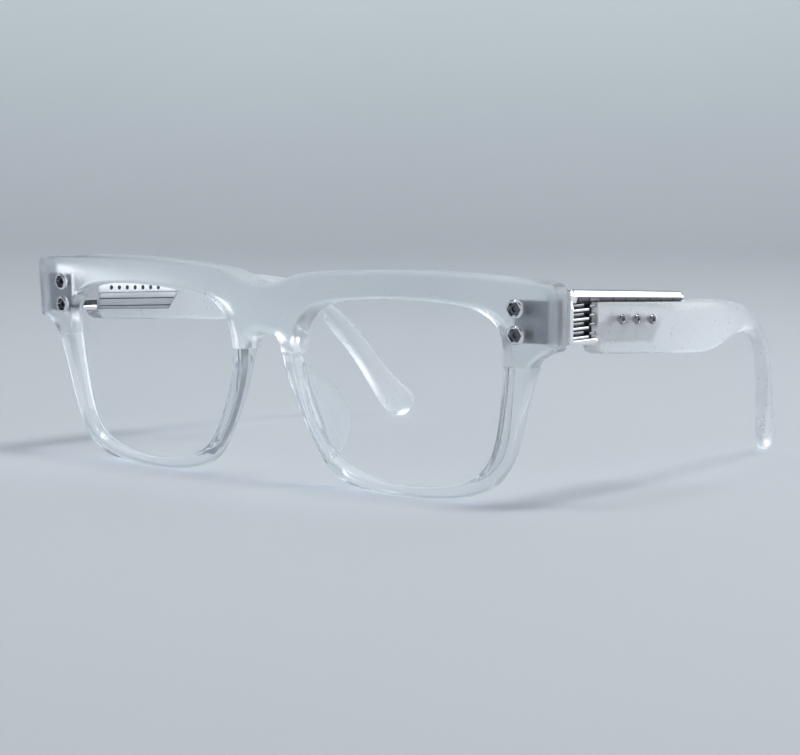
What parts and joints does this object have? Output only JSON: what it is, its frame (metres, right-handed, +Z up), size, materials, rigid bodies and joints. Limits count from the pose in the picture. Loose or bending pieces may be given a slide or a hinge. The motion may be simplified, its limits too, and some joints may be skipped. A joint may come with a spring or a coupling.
{
  "type": "spectacles",
  "caption": "Full-rim spectacles with a thick frosted brow, clear lower rims, clear lenses, and folding temples with polished metal trim.",
  "frame": {"origin": "centre of the bounding box, on the surface the spectacles stand on", "axes": "+Z up, +X to the wearer's left, -Y out of the front, temples run to +Y; standing open on rim bottoms and temple tips"},
  "size_m": [0.147, 0.1274, 0.048],
  "materials": {
    "frosted_acetate": "frosted, translucent",
    "clear_acetate": "clear, polished",
    "lens": "clear, polished",
    "polished_metal": "mirror polished",
    "brushed_metal": "fine brushed"
  },
  "bodies": {
    "front": {"brow_front": "frosted_acetate", "left_front_bezels": "polished_metal", "left_front_hinge_leaf": "brushed_metal", "left_front_screws": "polished_metal", "left_hinge_screw": "polished_metal", "left_lens": "lens", "left_lower_rim": "clear_acetate", "left_nose_pad": "clear_acetate", "right_front_bezels": "polished_metal", "right_front_hinge_leaf": "brushed_metal", "right_front_screws": "polished_metal", "right_hinge_screw": "polished_metal", "right_lens": "lens", "right_lower_rim": "clear_acetate", "right_nose_pad": "clear_acetate"},
    "left_temple": {"left_temple_arm": "frosted_acetate", "left_temple_bar": "polished_metal", "left_rib_insert": "polished_metal", "left_inner_trim": "polished_metal", "left_inner_plate": "brushed_metal", "left_temple_rivets": "polished_metal", "left_temple_hinge_leaf": "brushed_metal"},
    "right_temple": {"right_temple_arm": "frosted_acetate", "right_temple_bar": "polished_metal", "right_rib_insert": "polished_metal", "right_inner_trim": "polished_metal", "right_inner_plate": "brushed_metal", "right_temple_rivets": "polished_metal", "right_temple_hinge_leaf": "brushed_metal"}
  },
  "joints": [
    {"name": "left_temple_hinge", "type": "hinge", "parent": "front", "child": "left_temple", "pos_m": [0.0663, -0.05096, 0.03925], "axis": [0, 0, 1], "range_deg": [0, 83]},
    {"name": "right_temple_hinge", "type": "hinge", "parent": "front", "child": "right_temple", "pos_m": [-0.0663, -0.05096, 0.03925], "axis": [0, 0, -1], "range_deg": [0, 76]}
  ]
}
